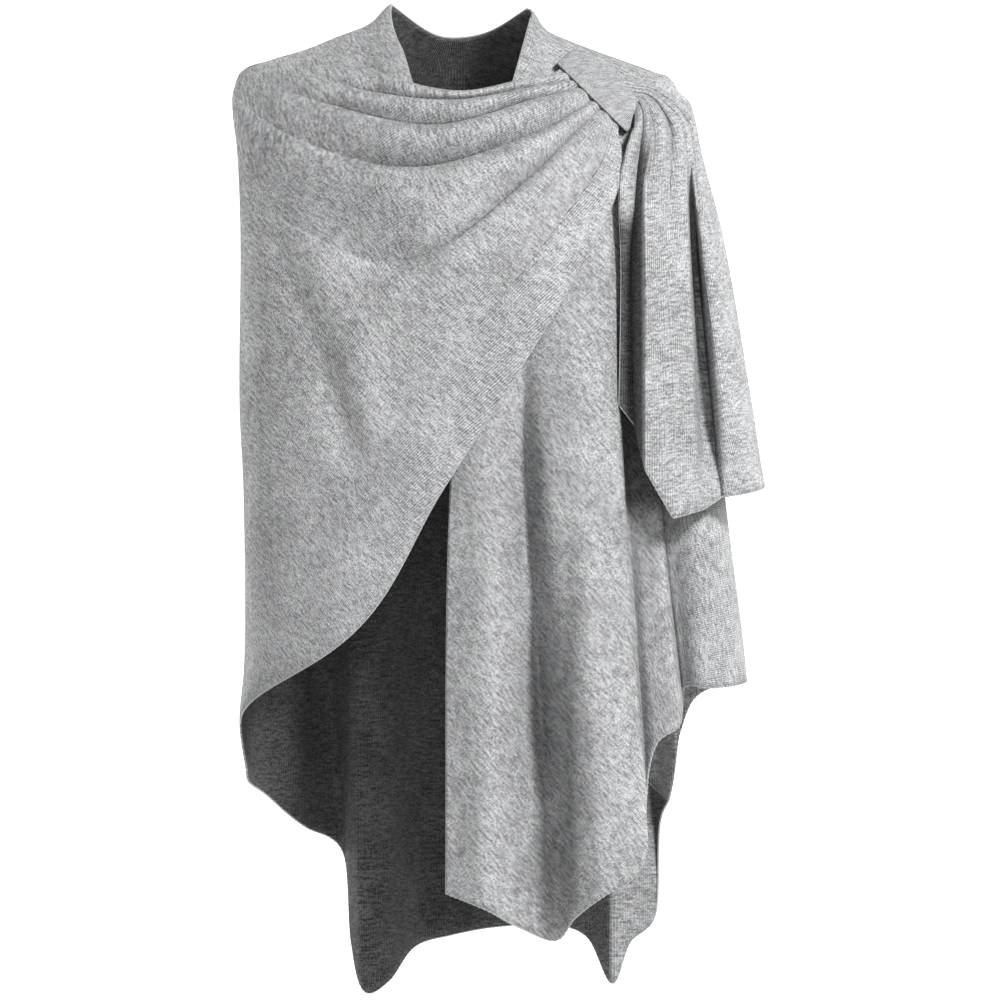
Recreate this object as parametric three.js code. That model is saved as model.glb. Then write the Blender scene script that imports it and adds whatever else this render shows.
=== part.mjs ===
// Knitted poncho sweater: an open-front cape of fine rib knit, worn wrapped, as if on a figure.
//
// Millimetres, +Z up. Azimuth 0 looks along +Y, so the front of the garment faces -Y and the
// wearer's right side is at -X. The origin is on the shoulder line, at the middle of the chest.
//
// The cloth follows one hull, the form of a general figure with its arms down. A place on the hull
// is given by how far across (x) and how high (z) it is seen from the front, and a lift, which is
// how far the cloth stands off the hull there.

import * as THREE from 'three';

const wall = 2.2;
const seamGap = 0.3;
const neckHalfWidth = 65;

// Hull: the cloth is rounded over the shoulders within this drop, and its plan is a squared ellipse.
const shoulderRound = 150;
const planSquareness = 0.75;

// A margin that widens the hull grows by its own size over this drop.
const flareDrop = 110;

const lightHeather = { color: 0xb5b6b8, roughness: 0.93, metalness: 0 };

// Shoulder ridge: its height at each place across, carried on over the open neck.
const ridge = [
  { x: -218, z: 0 },
  { x: -209, z: 27 },
  { x: -181, z: 39 },
  { x: -145, z: 50 },
  { x: -118, z: 61 },
  { x: -84, z: 75 },
  { x: -65, z: 93 },
  { x: 0, z: 112 },
  { x: 66, z: 90 },
  { x: 82, z: 69 },
  { x: 102, z: 59 },
  { x: 136, z: 46 },
  { x: 186, z: 28 },
  { x: 204, z: 20 },
  { x: 213, z: -2 },
];

// Hull at each height: its two sides, and how far it reaches to the front and to the back.
const hull = [
  { z: 110, left: -120, right: 120, front: 42, back: 50 },
  { z: 60, left: -190, right: 180, front: 70, back: 82 },
  { z: 27, left: -211, right: 203, front: 88, back: 104 },
  { z: 0, left: -216, right: 212, front: 98, back: 114 },
  { z: -50, left: -211, right: 218, front: 112, back: 124 },
  { z: -130, left: -208, right: 232, front: 122, back: 128 },
  { z: -285, left: -209, right: 246, front: 120, back: 122 },
  { z: -376, left: -205, right: 253, front: 122, back: 122 },
  { z: -530, left: -204, right: 272, front: 130, back: 130 },
  { z: -594, left: -209, right: 276, front: 134, back: 134 },
  { z: -650, left: -202, right: 276, front: 136, back: 137 },
  { z: -860, left: -200, right: 276, front: 142, back: 144 },
];

// Neck edge of the back, from the left peak to the right peak.
const backNeck = [
  { x: -65, z: 93 },
  { x: -28, z: 68 },
  { x: -4, z: 63 },
  { x: 29, z: 69 },
  { x: 66, z: 90 },
];

function clamp(value, low, high) {
  return Math.min(Math.max(value, low), high);
}

function smoothStep(from, to, value) {
  const share = clamp((value - from) / (to - from), 0, 1);
  return share * share * (3 - 2 * share);
}

// Value of one column of a table at a place between its rows, with a smooth run through each row.
function column(rows, key, name, at) {
  const rising = rows[1][key] > rows[0][key];
  const last = rows.length - 1;
  const ends = rising ? [rows[0][key], rows[last][key]] : [rows[last][key], rows[0][key]];
  const place = clamp(at, ends[0], ends[1]);
  let index = 0;
  const passed = (row) => (rising ? place > row[key] : place < row[key]);
  while (index < last - 1 && passed(rows[index + 1])) index += 1;
  const slope = (row) => {
    const before = rows[Math.max(row - 1, 0)];
    const after = rows[Math.min(row + 1, last)];
    return (after[name] - before[name]) / (after[key] - before[key]);
  };
  const span = rows[index + 1][key] - rows[index][key];
  return hermite(rows[index][name], rows[index + 1][name], slope(index) * span, slope(index + 1) * span,
    (place - rows[index][key]) / span);
}

function hermite(first, second, firstSlope, secondSlope, share) {
  const squared = share * share;
  const cubed = squared * share;
  return (2 * cubed - 3 * squared + 1) * first + (cubed - 2 * squared + share) * firstSlope
    + (3 * squared - 2 * cubed) * second + (cubed - squared) * secondSlope;
}

// Smooth run through evenly spaced values, at a place counted in steps from the first.
function through(values, place) {
  const last = values.length - 1;
  const index = clamp(Math.floor(place), 0, last - 1);
  const slope = (at) => {
    if (at === 0) return values[1] - values[0];
    if (at === last) return values[last] - values[last - 1];
    return (values[at + 1] - values[at - 1]) / 2;
  };
  return hermite(values[index], values[index + 1], slope(index), slope(index + 1), place - index);
}

const ridgeHeight = (x) => column(ridge, 'x', 'z', x);

// Hull section at a height, widened by a margin at its sides.
function section(z, margin) {
  const flare = margin * (1 + Math.max(-z, 0) / flareDrop);
  const left = column(hull, 'z', 'left', z) - flare;
  const right = column(hull, 'z', 'right', z) + flare;
  return { centre: (left + right) / 2, half: (right - left) / 2 };
}

// Turn of a place round the hull: -1 at the left side, 0 at the middle, 1 at the right side.
function turnOf(x, z, margin) {
  const { centre, half } = section(z, margin);
  return Math.asin(clamp((x - centre) / half, -1, 1)) / (Math.PI / 2);
}

// Point of the cloth at a turn and height, with its lift. A turn past 1 goes round to the far side.
// No point is higher than the ridge at its place.
function onHull(turn, z, lift, facing, margin) {
  const { centre, half } = section(z, margin);
  const angle = turn * Math.PI / 2;
  const x = centre + half * Math.sin(angle);
  const height = Math.min(z, ridgeHeight(x) + margin);
  const drop = Math.min((ridgeHeight(x) + margin - height) / shoulderRound, 1);
  const overShoulder = Math.sqrt(1 - (1 - drop) ** 2);
  const depth = column(hull, 'z', facing, z);
  const side = Math.sign(Math.cos(angle)) * Math.abs(Math.cos(angle)) ** planSquareness;
  const reach = depth * side * overShoulder + lift * Math.cos(angle) + margin * overShoulder * side;
  return new THREE.Vector3(x, facing === 'front' ? -reach : reach, height);
}

// Closed wall on a grid of points: an outer and an inner face and the four edges between them.
// seam(i, j) tells which points lie on a seam in the plane y = 0, where the edge face is square to it.
function clothWall(grid, thickness, seam) {
  const rows = grid.length;
  const columns = grid[0].length;
  const normals = grid.map((line, i) => line.map((_, j) => {
    const along = grid[Math.min(i + 1, rows - 1)][j].clone().sub(grid[Math.max(i - 1, 0)][j]);
    const across = grid[i][Math.min(j + 1, columns - 1)].clone().sub(grid[i][Math.max(j - 1, 0)]);
    const normal = along.cross(across);
    if (seam(i, j)) normal.y = 0;
    return normal.normalize();
  }));
  const positions = [];
  for (const side of [0.5, -0.5]) {
    grid.forEach((line, i) => line.forEach((point, j) => {
      const moved = point.clone().addScaledVector(normals[i][j], side * thickness);
      positions.push(moved.x, moved.y, moved.z);
    }));
  }
  const outer = (i, j) => i * columns + j;
  const inner = (i, j) => rows * columns + i * columns + j;
  const faces = [];
  const quad = (a, b, c, d) => faces.push(a, b, c, a, c, d);
  for (let i = 0; i < rows - 1; i += 1) {
    for (let j = 0; j < columns - 1; j += 1) {
      quad(outer(i, j), outer(i + 1, j), outer(i + 1, j + 1), outer(i, j + 1));
      quad(inner(i, j), inner(i, j + 1), inner(i + 1, j + 1), inner(i + 1, j));
    }
  }
  for (let i = 0; i < rows - 1; i += 1) {
    quad(outer(i, 0), inner(i, 0), inner(i + 1, 0), outer(i + 1, 0));
    quad(outer(i + 1, columns - 1), inner(i + 1, columns - 1), inner(i, columns - 1), outer(i, columns - 1));
  }
  for (let j = 0; j < columns - 1; j += 1) {
    quad(outer(0, j + 1), inner(0, j + 1), inner(0, j), outer(0, j));
    quad(outer(rows - 1, j), inner(rows - 1, j), inner(rows - 1, j + 1), outer(rows - 1, j + 1));
  }
  return solidGeometry(positions, faces);
}

// Geometry with its faces pointing out, whichever way round the grid was walked.
function solidGeometry(positions, faces) {
  const corner = (index) => new THREE.Vector3().fromArray(positions, index * 3);
  let volume = 0;
  for (let at = 0; at < faces.length; at += 3) {
    volume += corner(faces[at]).dot(corner(faces[at + 1]).cross(corner(faces[at + 2])));
  }
  const outward = volume > 0 ? faces : faces.slice().reverse();
  const geometry = new THREE.BufferGeometry();
  geometry.setAttribute('position', new THREE.Float32BufferAttribute(positions, 3));
  geometry.setIndex(outward);
  geometry.computeVertexNormals();
  return geometry;
}

// Keeps half of the seam's gap free on the panel's own side of the plane y = 0.
function offSeam(point, facing) {
  const limit = seamGap / 2;
  point.y = facing === 'front' ? Math.min(point.y, -limit) : Math.max(point.y, limit);
  return point;
}

// A hanging panel. Each row of its table is a line that runs down the cloth, from the ridge or the
// neck edge to the hem: where it is seen at the ridge (top), at chest and hip height and at the hem
// (x, z), and how far its fold stands off the hull at the hip and at the hem. A place past the
// hull's side lies on the side line.
const chestHeight = -150;
const hipHeight = -400;

// A fold has this share of its hip lift at the chest, and the steps down a panel grow by this share.
const chestShare = 0.3;
const stepGrowth = 0.35;

function hangingPanel(lines, facing, topHeight, stepsAcross, stepsDown) {
  const runs = lines.map((line) => [
    { z: topHeight(line.top), x: line.top, lift: 0 },
    { z: chestHeight, x: line.chest, lift: chestShare * line.hipLift },
    { z: hipHeight, x: line.hip, lift: line.hipLift },
    { z: line.hemZ, x: line.hem, lift: line.hemLift },
  ]);
  const grid = [];
  for (let i = 0; i <= (lines.length - 1) * stepsAcross; i += 1) {
    const place = i / stepsAcross;
    const topZ = topHeight(through(lines.map((line) => line.top), place));
    const hemZ = through(lines.map((line) => line.hemZ), place);
    const line = [];
    for (let j = 0; j <= stepsDown; j += 1) {
      const share = j / stepsDown;
      const z = topZ + (hemZ - topZ) * share * (1 - stepGrowth + stepGrowth * share);
      const turn = through(runs.map((run) => turnOf(column(run, 'z', 'x', z), z, 0)), place);
      const lift = through(runs.map((run) => column(run, 'z', 'lift', z)), place);
      line.push(offSeam(onHull(turn, z, lift, facing, 0), facing));
    }
    grid.push(line);
  }
  return grid;
}

// Back panel, from the left side line to the right one.
const backLines = [
  {
    fold: 'left side', top: -216, chest: -230, hip: -230, hem: -230,
    hemZ: -646, hipLift: 0, hemLift: 0,
  },
  {
    fold: 'left hollow', top: -205, chest: -204, hip: -198, hem: -186,
    hemZ: -662, hipLift: 4, hemLift: 14,
  },
  {
    fold: 'left ridge', top: -180, chest: -184, hip: -176, hem: -150,
    hemZ: -693, hipLift: -4, hemLift: -12,
  },
  {
    fold: 'point hollow', top: -150, chest: -150, hip: -140, hem: -112,
    hemZ: -719, hipLift: 6, hemLift: 20,
  },
  {
    fold: 'point drop', top: -132, chest: -132, hip: -118, hem: -103,
    hemZ: -810, hipLift: 0, hemLift: -6,
  },
  {
    fold: 'left point', top: -116, chest: -114, hip: -98, hem: -91,
    hemZ: -852, hipLift: -10, hemLift: -32,
  },
  {
    fold: 'left point end', top: -98, chest: -92, hip: -74, hem: -68,
    hemZ: -842, hipLift: -10, hemLift: -28,
  },
  {
    fold: 'centre hollow', top: -66, chest: -62, hip: -48, hem: -44,
    hemZ: -811, hipLift: 3, hemLift: 10,
  },
  {
    fold: 'centre back', top: -30, chest: -28, hip: -20, hem: -8,
    hemZ: -800, hipLift: 6, hemLift: 22,
  },
  {
    fold: 'centre ridge', top: 8, chest: 14, hip: 24, hem: 36,
    hemZ: -791, hipLift: -5, hemLift: -16,
  },
  {
    fold: 'right hollow', top: 62, chest: 70, hip: 84, hem: 90,
    hemZ: -790, hipLift: 6, hemLift: 20,
  },
  {
    fold: 'right point drop', top: 96, chest: 104, hip: 118, hem: 124,
    hemZ: -802, hipLift: 0, hemLift: 2,
  },
  {
    fold: 'right point', top: 118, chest: 128, hip: 142, hem: 147,
    hemZ: -845, hipLift: -8, hemLift: -26,
  },
  {
    fold: 'right point end', top: 136, chest: 148, hip: 162, hem: 164,
    hemZ: -806, hipLift: -4, hemLift: -12,
  },
  {
    fold: 'side hollow', top: 156, chest: 170, hip: 184, hem: 189,
    hemZ: -778, hipLift: 8, hemLift: 22,
  },
  {
    fold: 'side step', top: 168, chest: 184, hip: 200, hem: 193,
    hemZ: -692, hipLift: 4, hemLift: 12,
  },
  {
    fold: 'side ridge', top: 178, chest: 198, hip: 214, hem: 203,
    hemZ: -662, hipLift: -3, hemLift: -8,
  },
  {
    fold: 'side corner', top: 186, chest: 210, hip: 226, hem: 211,
    hemZ: -606, hipLift: -2, hemLift: -4,
  },
  {
    fold: 'arm hem', top: 193, chest: 221, hip: 240, hem: 226,
    hemZ: -570, hipLift: 0, hemLift: 4,
  },
  {
    fold: 'arm end', top: 196, chest: 229, hip: 249, hem: 254,
    hemZ: -556, hipLift: 0, hemLift: 2,
  },
  {
    fold: 'right side', top: 216, chest: 260, hip: 290, hem: 300,
    hemZ: -552, hipLift: 0, hemLift: 0,
  },
];

function backTop(x) {
  return Math.abs(x) < neckHalfWidth ? column(backNeck, 'x', 'z', x) : ridgeHeight(x);
}

function back() {
  const grid = hangingPanel(backLines, 'back', backTop, 3, 15);
  const shoulder = (i, j) => j === 0 && Math.abs(grid[i][j].x) > neckHalfWidth;
  const seam = (i, j) => i === 0 || i === grid.length - 1 || shoulder(i, j);
  return clothWall(grid, wall, seam);
}

// Left front of the wearer, from its free edge at the middle to the side line.
const leftFrontLines = [
  {
    fold: 'free edge', top: 70, chest: 10, hip: -9, hem: -12,
    hemZ: -752, hipLift: 0, hemLift: 4,
  },
  {
    fold: 'edge ridge', top: 78, chest: 32, hip: 18, hem: 26,
    hemZ: -767, hipLift: 7, hemLift: 16,
  },
  {
    fold: 'inner slope', top: 88, chest: 46, hip: 44, hem: 56,
    hemZ: -784, hipLift: 5, hemLift: -2,
  },
  {
    fold: 'front hollow', top: 100, chest: 62, hip: 72, hem: 92,
    hemZ: -798, hipLift: -15, hemLift: -24,
  },
  {
    fold: 'hem step', top: 110, chest: 84, hip: 96, hem: 112,
    hemZ: -774, hipLift: -4, hemLift: -4,
  },
  {
    fold: 'front ridge', top: 120, chest: 108, hip: 120, hem: 136,
    hemZ: -755, hipLift: 9, hemLift: 22,
  },
  {
    fold: 'ridge edge', top: 128, chest: 128, hip: 144, hem: 164,
    hemZ: -738, hipLift: 9, hemLift: 20,
  },
  {
    fold: 'turned edge', top: 136, chest: 142, hip: 156, hem: 178,
    hemZ: -712, hipLift: 2, hemLift: 4,
  },
  {
    fold: 'behind the turn', top: 143, chest: 149, hip: 160, hem: 178,
    hemZ: -660, hipLift: -20, hemLift: -26,
  },
  {
    fold: 'second fold', top: 152, chest: 160, hip: 171, hem: 187,
    hemZ: -612, hipLift: -12, hemLift: -10,
  },
  {
    fold: 'second edge', top: 162, chest: 176, hip: 190, hem: 209,
    hemZ: -594, hipLift: -2, hemLift: 0,
  },
  {
    fold: 'behind the second', top: 172, chest: 181, hip: 194, hem: 213,
    hemZ: -570, hipLift: -24, hemLift: -26,
  },
  {
    fold: 'arm fold edge', top: 182, chest: 191, hip: 202, hem: 219,
    hemZ: -556, hipLift: -8, hemLift: -4,
  },
  {
    fold: 'arm fold', top: 196, chest: 214, hip: 218, hem: 232,
    hemZ: -558, hipLift: 4, hemLift: 10,
  },
  {
    fold: 'right side', top: 216, chest: 260, hip: 290, hem: 300,
    hemZ: -552, hipLift: 0, hemLift: 0,
  },
];

function leftFront() {
  const grid = hangingPanel(leftFrontLines, 'front', ridgeHeight, 3, 15);
  const seam = (i, j) => i === grid.length - 1 || j === 0;
  return clothWall(grid, wall, seam);
}

// Right front of the wearer: one cloth that wraps over the chest, runs through the shoulder loop
// and hangs over the arm as a tail. Each row is a line that the folds follow, from the neck edge to
// the hem edge, with its place at each station along the cloth.
const wrapStations = [
  'start', 'left', 'low', 'right', 'near', 'entry', 'exit', 'bend', 'turn', 'fall', 'mid', 'end',
];
const wrapLines = [
  {
    line: 'neck edge',
    start: [-65, 93], left: [-55, 50], low: [-26, -4], right: [58, 8],
    near: [84, 20], entry: [104, 30], exit: [162, 23], bend: [192, 15],
    turn: [228, -20], fall: [238, -84], mid: [255, -161], end: [292, -360],
  },
  {
    line: 'cowl top',
    start: [-116, 61], left: [-86, 30], low: [-6, 8], right: [57, 18],
    near: [84, 23], entry: [104, 26], exit: [163, 18], bend: [193, 10],
    turn: [228, -27], fall: [238, -90], mid: [255, -161], end: [292, -366],
  },
  {
    line: 'first crease',
    start: [-165, 44], left: [-111, 14], low: [-13, -1], right: [62, 10],
    near: [88, 15], entry: [112, 19], exit: [164, 15], bend: [191, 7],
    turn: [221, -29], fall: [229, -90], mid: [232, -161], end: [256, -376],
  },
  {
    line: 'second crease',
    start: [-200, 33], left: [-122, -5], low: [-24, -25], right: [68, -1],
    near: [103, 8], entry: [122, 13], exit: [165, 12], bend: [189, 4],
    turn: [214, -31], fall: [220, -90], mid: [221, -161], end: [233, -388],
  },
  {
    line: 'third crease',
    start: [-230, 23], left: [-134, -46], low: [-36, -65], right: [70, -34],
    near: [108, -13], entry: [133, 2], exit: [166, 8], bend: [186, 0],
    turn: [202, -34], fall: [200, -90], mid: [199, -161], end: [203, -397],
  },
  {
    line: 'fourth crease',
    start: [-230, -50], left: [-134, -134], low: [-42, -154], right: [66, -76],
    near: [112, -30], entry: [140, -6], exit: [167, 3], bend: [178, -4],
    turn: [184, -37], fall: [177, -90], mid: [177, -161], end: [177, -352],
  },
  {
    line: 'edge crease',
    start: [-230, -340], left: [-120, -318], low: [-14, -246], right: [92, -122],
    near: [136, -58], entry: [148, -18], exit: [168, -3], bend: [174, -9],
    turn: [173, -38], fall: [168, -90], mid: [164, -161], end: [167, -309],
  },
  {
    line: 'hem edge',
    start: [-230, -594], left: [-107, -512], low: [-12, -365], right: [98, -190],
    near: [153, -74], entry: [151, -25], exit: [166, -12], bend: [167, -23],
    turn: [162, -38], fall: [152, -90], mid: [154, -161], end: [152, -290],
  },
];

// Lift of each line off the hull at each station, before the crests between the lines.
// columns: start, left, low, right, near, entry, exit, bend, turn, fall, mid, end
const wrapLift = [
  { line: 'neck edge', lift: [0, 0, 1, 7, 11, 12, 11, 10, 4, 2, 0, 0] },
  { line: 'cowl top', lift: [0, 3, 10, 16, 16, 13, 13, 12, 8, 7, 6, 6] },
  { line: 'first crease', lift: [0, 3, 9, 14, 14, 12, 12, 10, 4, 0, -4, -6] },
  { line: 'second crease', lift: [0, 2, 9, 13, 14, 12, 12, 13, 12, 13, 14, 12] },
  { line: 'third crease', lift: [0, 2, 9, 13, 14, 12, 12, 11, 5, 12, 15, 15] },
  { line: 'fourth crease', lift: [0, 2, 9, 13, 14, 12, 12, 12, 8, 10, 12, 12] },
  { line: 'edge crease', lift: [0, 3, 14, 14, 14, 13, 12.5, 11.5, 5, -2, -6, -6] },
  { line: 'hem edge', lift: [0, 3, 12, 14, 14, 13, 13.5, 12, 8, 2, -5, -6] },
];

// Height of the crest between a line and the next at each station, and the grid's steps across it.
// columns: start, left, low, right, near, entry, exit, bend, turn, fall, mid, end
const wrapCrests = [
  { crest: 'collar', steps: 3, height: [1, 2, 0, 0, 0, 0, 0, 0, 1, 2, 2, 3] },
  { crest: 'cowl top', steps: 3, height: [4, 7, 6, 5, 4, 3, 3, 3, 5, 8, 9, 8] },
  { crest: 'second', steps: 3, height: [3, 8, 9, 7, 5, 3, 3, 3, 4, 0, 0, 0] },
  { crest: 'third', steps: 4, height: [1, 11, 16, 12, 8, 2, 2, 3, 6, 4, 3, 2] },
  { crest: 'fourth', steps: 5, height: [1, 13, 24, 18, 10, 2, 1.5, 2, 6, 4, 3, 2] },
  { crest: 'wide fall', steps: 7, height: [0, 8, 13, 13, 10, 2, 1.5, 2, 5, 2, 0, 0] },
  { crest: 'edge', steps: 3, height: [0, 2, 3, 3, 3, 1, 1, 2, 5, 5, 2, 1] },
];

// Steps of the grid between a station and the next.
const wrapSteps = [5, 5, 4, 3, 2, 3, 2, 2, 3, 3, 6];

// The tail hangs outside the hull of the panels that it covers: the hull is widened along the cloth.
const tailMargin = 9;
const tailFrom = 6;
const tailFull = 8;

// The outermost line of the tail goes round the arm to the back by this share of a quarter turn.
const tailRound = 0.12;

// How far down its band each crest stands: under 1 it stands near the upper line, as the lip of a
// cowl fold does, and the cloth falls back in below it. The grid's steps gather at the lip.
// columns: start, left, low, right, near, entry, exit, bend, turn, fall, mid, end
const crestLean = [0.8, 0.6, 0.55, 0.55, 0.6, 0.7, 0.8, 0.9, 1, 1, 1, 1];
const crestGather = 1.5;

function crestProfile(share, place) {
  return Math.sin(Math.PI * share ** through(crestLean, place));
}

const marginAt = (place) => tailMargin * smoothStep(tailFrom, tailFull, place);
const roundAt = (place) => tailRound * smoothStep(tailFrom, tailFull + 1, place);

const wrapHeights = wrapLines.map((line) => wrapStations.map((name) => line[name][1]));
const wrapTurns = wrapLines.map((line, at) => wrapStations.map((name, station) => {
  const [x, z] = line[name];
  return turnOf(x, z, marginAt(station)) + (at === 0 ? roundAt(station) : 0);
}));
const wrapLifts = wrapLift.map((row) => row.lift);

function wrapPoint(index, share, place) {
  const between = (runs) => {
    const first = through(runs[index], place);
    return first + (through(runs[index + 1], place) - first) * share;
  };
  const crest = Math.max(through(wrapCrests[index].height, place), 0) * crestProfile(share, place);
  const lift = between(wrapLifts) + crest;
  const point = onHull(between(wrapTurns), between(wrapHeights), lift, 'front', marginAt(place));
  return place > tailFrom ? point : offSeam(point, 'front');
}

function rightFront() {
  const grid = [];
  wrapSteps.forEach((steps, station) => {
    const lastStation = station === wrapSteps.length - 1;
    for (let step = 0; step < steps + (lastStation ? 1 : 0); step += 1) {
      const place = station + step / steps;
      const line = [];
      wrapCrests.forEach((crest, index) => {
        const lastCrest = index === wrapCrests.length - 1;
        for (let part = 0; part < crest.steps + (lastCrest ? 1 : 0); part += 1) {
          line.push(wrapPoint(index, (part / crest.steps) ** crestGather, place));
        }
      });
      grid.push(line);
    }
  });
  return clothWall(grid, wall, (i) => i === 0);
}

// Shoulder loop: a band of the same knit, a ring round the gathered cloth. Its long way runs down
// and outward over the folds. Its lower left edge is straight, and its width changes along it.
const loop = {
  edgeMiddle: { x: 126.4, z: 2.8 },
  longWay: new THREE.Vector2(0.708, -0.706),
  halfLength: 46,
  liftMiddle: 13.8,
  liftHalf: 8.8,
  roundness: 0.7,
  stepsRound: 40,
  stepsWide: 3,
};
const loopWidths = [
  { along: -1, width: 17 },
  { along: -0.8, width: 26 },
  { along: -0.5, width: 30.5 },
  { along: 0, width: 31.5 },
  { along: 0.4, width: 31.5 },
  { along: 0.7, width: 27 },
  { along: 0.9, width: 12 },
  { along: 1, width: 4 },
];

function shoulderLoop() {
  const flow = new THREE.Vector2(-loop.longWay.y, loop.longWay.x);
  const rings = [];
  for (let i = 0; i < loop.stepsRound; i += 1) {
    const angle = 2 * Math.PI * i / loop.stepsRound;
    const along = Math.cos(angle);
    const out = Math.sign(Math.sin(angle)) * Math.abs(Math.sin(angle)) ** loop.roundness;
    const width = column(loopWidths, 'along', 'width', along);
    const ring = [];
    for (let j = 0; j <= loop.stepsWide; j += 1) {
      const side = width * j / loop.stepsWide;
      const x = loop.edgeMiddle.x + loop.halfLength * along * loop.longWay.x + side * flow.x;
      const z = loop.edgeMiddle.z + loop.halfLength * along * loop.longWay.y + side * flow.y;
      ring.push(onHull(turnOf(x, z, 0), z, loop.liftMiddle + loop.liftHalf * out, 'front', 0));
    }
    rings.push(ring);
  }
  return ringWall(rings, wall);
}

// Closed wall on a ring of points, joined round its length.
function ringWall(rings, thickness) {
  const count = rings.length;
  const wide = rings[0].length;
  const positions = [];
  for (const side of [0.5, -0.5]) {
    rings.forEach((ring, i) => ring.forEach((point, j) => {
      const along = rings[(i + 1) % count][j].clone().sub(rings[(i + count - 1) % count][j]);
      const across = ring[Math.min(j + 1, wide - 1)].clone().sub(ring[Math.max(j - 1, 0)]);
      const moved = point.clone().addScaledVector(along.cross(across).normalize(), side * thickness);
      positions.push(moved.x, moved.y, moved.z);
    }));
  }
  const at = (layer, i, j) => layer * count * wide + (i % count) * wide + j;
  const faces = [];
  const quad = (a, b, c, d) => faces.push(a, b, c, a, c, d);
  for (let i = 0; i < count; i += 1) {
    for (let j = 0; j < wide - 1; j += 1) {
      quad(at(0, i, j), at(0, i + 1, j), at(0, i + 1, j + 1), at(0, i, j + 1));
      quad(at(1, i, j), at(1, i, j + 1), at(1, i + 1, j + 1), at(1, i + 1, j));
    }
    quad(at(0, i, 0), at(1, i, 0), at(1, i + 1, 0), at(0, i + 1, 0));
    quad(at(0, i + 1, wide - 1), at(1, i + 1, wide - 1), at(1, i, wide - 1), at(0, i, wide - 1));
  }
  return solidGeometry(positions, faces);
}

function piece(name, geometry) {
  const mesh = new THREE.Mesh(geometry, new THREE.MeshStandardMaterial(lightHeather));
  mesh.name = name;
  return mesh;
}

const garment = new THREE.Group();
garment.add(piece('back', back()));
garment.add(piece('left_front', leftFront()));
garment.add(piece('right_front', rightFront()));
garment.add(piece('shoulder_loop', shoulderLoop()));

export default garment;
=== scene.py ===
"""Looks of the knitted poncho wrap: fine shells on the form of its solids, their knit, and the light.

The tables repeat the part's own named sizes, in millimetres, with some folds deeper than in the
solids. A place on the garment is given by how far across (x) and how high (z) it is seen from the
front, and a lift off the hull that the cloth follows. Points become metres when a mesh is made.
"""
import math

import bpy
import numpy as np
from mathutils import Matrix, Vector


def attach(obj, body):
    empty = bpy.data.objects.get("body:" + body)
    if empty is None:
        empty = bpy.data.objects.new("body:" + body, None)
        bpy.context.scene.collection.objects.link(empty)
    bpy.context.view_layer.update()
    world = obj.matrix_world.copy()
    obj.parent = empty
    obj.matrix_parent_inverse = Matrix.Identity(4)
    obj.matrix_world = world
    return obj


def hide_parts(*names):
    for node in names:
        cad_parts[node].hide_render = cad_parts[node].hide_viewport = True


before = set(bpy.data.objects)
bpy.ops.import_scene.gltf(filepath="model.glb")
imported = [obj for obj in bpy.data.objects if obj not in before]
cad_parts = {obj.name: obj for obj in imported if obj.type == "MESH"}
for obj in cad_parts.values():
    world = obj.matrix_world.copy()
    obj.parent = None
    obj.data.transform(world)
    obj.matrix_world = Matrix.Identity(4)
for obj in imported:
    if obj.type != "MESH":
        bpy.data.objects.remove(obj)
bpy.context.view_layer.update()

MM = 0.001
WALL = 2.0
SEAM_GAP = 0.3
NECK_HALF_WIDTH = 65
SHOULDER_ROUND = 150
PLAN_SQUARENESS = 0.75
FLARE_DROP = 110

# From this turn on, a lift that stands to the front fades out towards the side seam.
SIDE_FADE = 0.94

# One wale of the rib is this wide, and one stitch along it is this long.
WALE = 1.9
STITCH = 2.3

# Slow unevenness of the cloth: the lengths of its waves, and the height of each.
RIPPLE_LENGTHS = [190, 130, 87, 61]
RIPPLE_HEIGHT = 0.45

# Shoulder ridge: its height at each place across, carried on over the open neck.
RIDGE = {
    "x": [-218, -209, -181, -145, -118, -84, -65, 0, 66, 82, 102, 136, 186, 204, 213],
    "z": [0, 27, 39, 50, 61, 75, 93, 112, 90, 69, 59, 46, 28, 20, -2],
}

# Hull at each height: its two sides, and how far it reaches to the front and to the back.
HULL = {
    "z": [110, 60, 27, 0, -50, -130, -285, -376, -530, -594, -650, -860],
    "left": [-120, -190, -211, -216, -211, -208, -209, -205, -204, -209, -202, -200],
    "right": [120, 180, 203, 212, 218, 232, 246, 253, 272, 276, 276, 276],
    "front": [42, 70, 88, 98, 112, 122, 120, 122, 130, 134, 136, 142],
    "back": [50, 82, 104, 114, 124, 128, 122, 122, 130, 134, 137, 144],
}

# Neck edge of the back, from the left peak to the right peak.
BACK_NECK = {"x": [-65, -28, -4, 29, 66], "z": [93, 68, 63, 69, 90]}


def smooth_step(start, end, value):
    share = np.clip((value - start) / (end - start), 0, 1)
    return share * share * (3 - 2 * share)


def hermite(first, second, first_slope, second_slope, share):
    squared = share * share
    cubed = squared * share
    return ((2 * cubed - 3 * squared + 1) * first + (cubed - 2 * squared + share) * first_slope
            + (3 * squared - 2 * cubed) * second + (cubed - squared) * second_slope)


def column(keys, values, at):
    """Values of a table's column at places between its rows, with a smooth run through each row."""
    keys = np.asarray(keys, float)
    values = np.asarray(values, float)
    if keys[0] > keys[-1]:
        keys = keys[::-1]
        values = values[::-1]
    last = len(keys) - 1
    at = np.clip(at, keys[0], keys[-1])
    index = np.clip(np.searchsorted(keys, at, side="right") - 1, 0, last - 1)
    before = np.maximum(np.arange(last + 1) - 1, 0)
    after = np.minimum(np.arange(last + 1) + 1, last)
    slopes = (values[after] - values[before]) / (keys[after] - keys[before])
    span = keys[index + 1] - keys[index]
    return hermite(values[index], values[index + 1], slopes[index] * span, slopes[index + 1] * span,
                   (at - keys[index]) / span)


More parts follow.
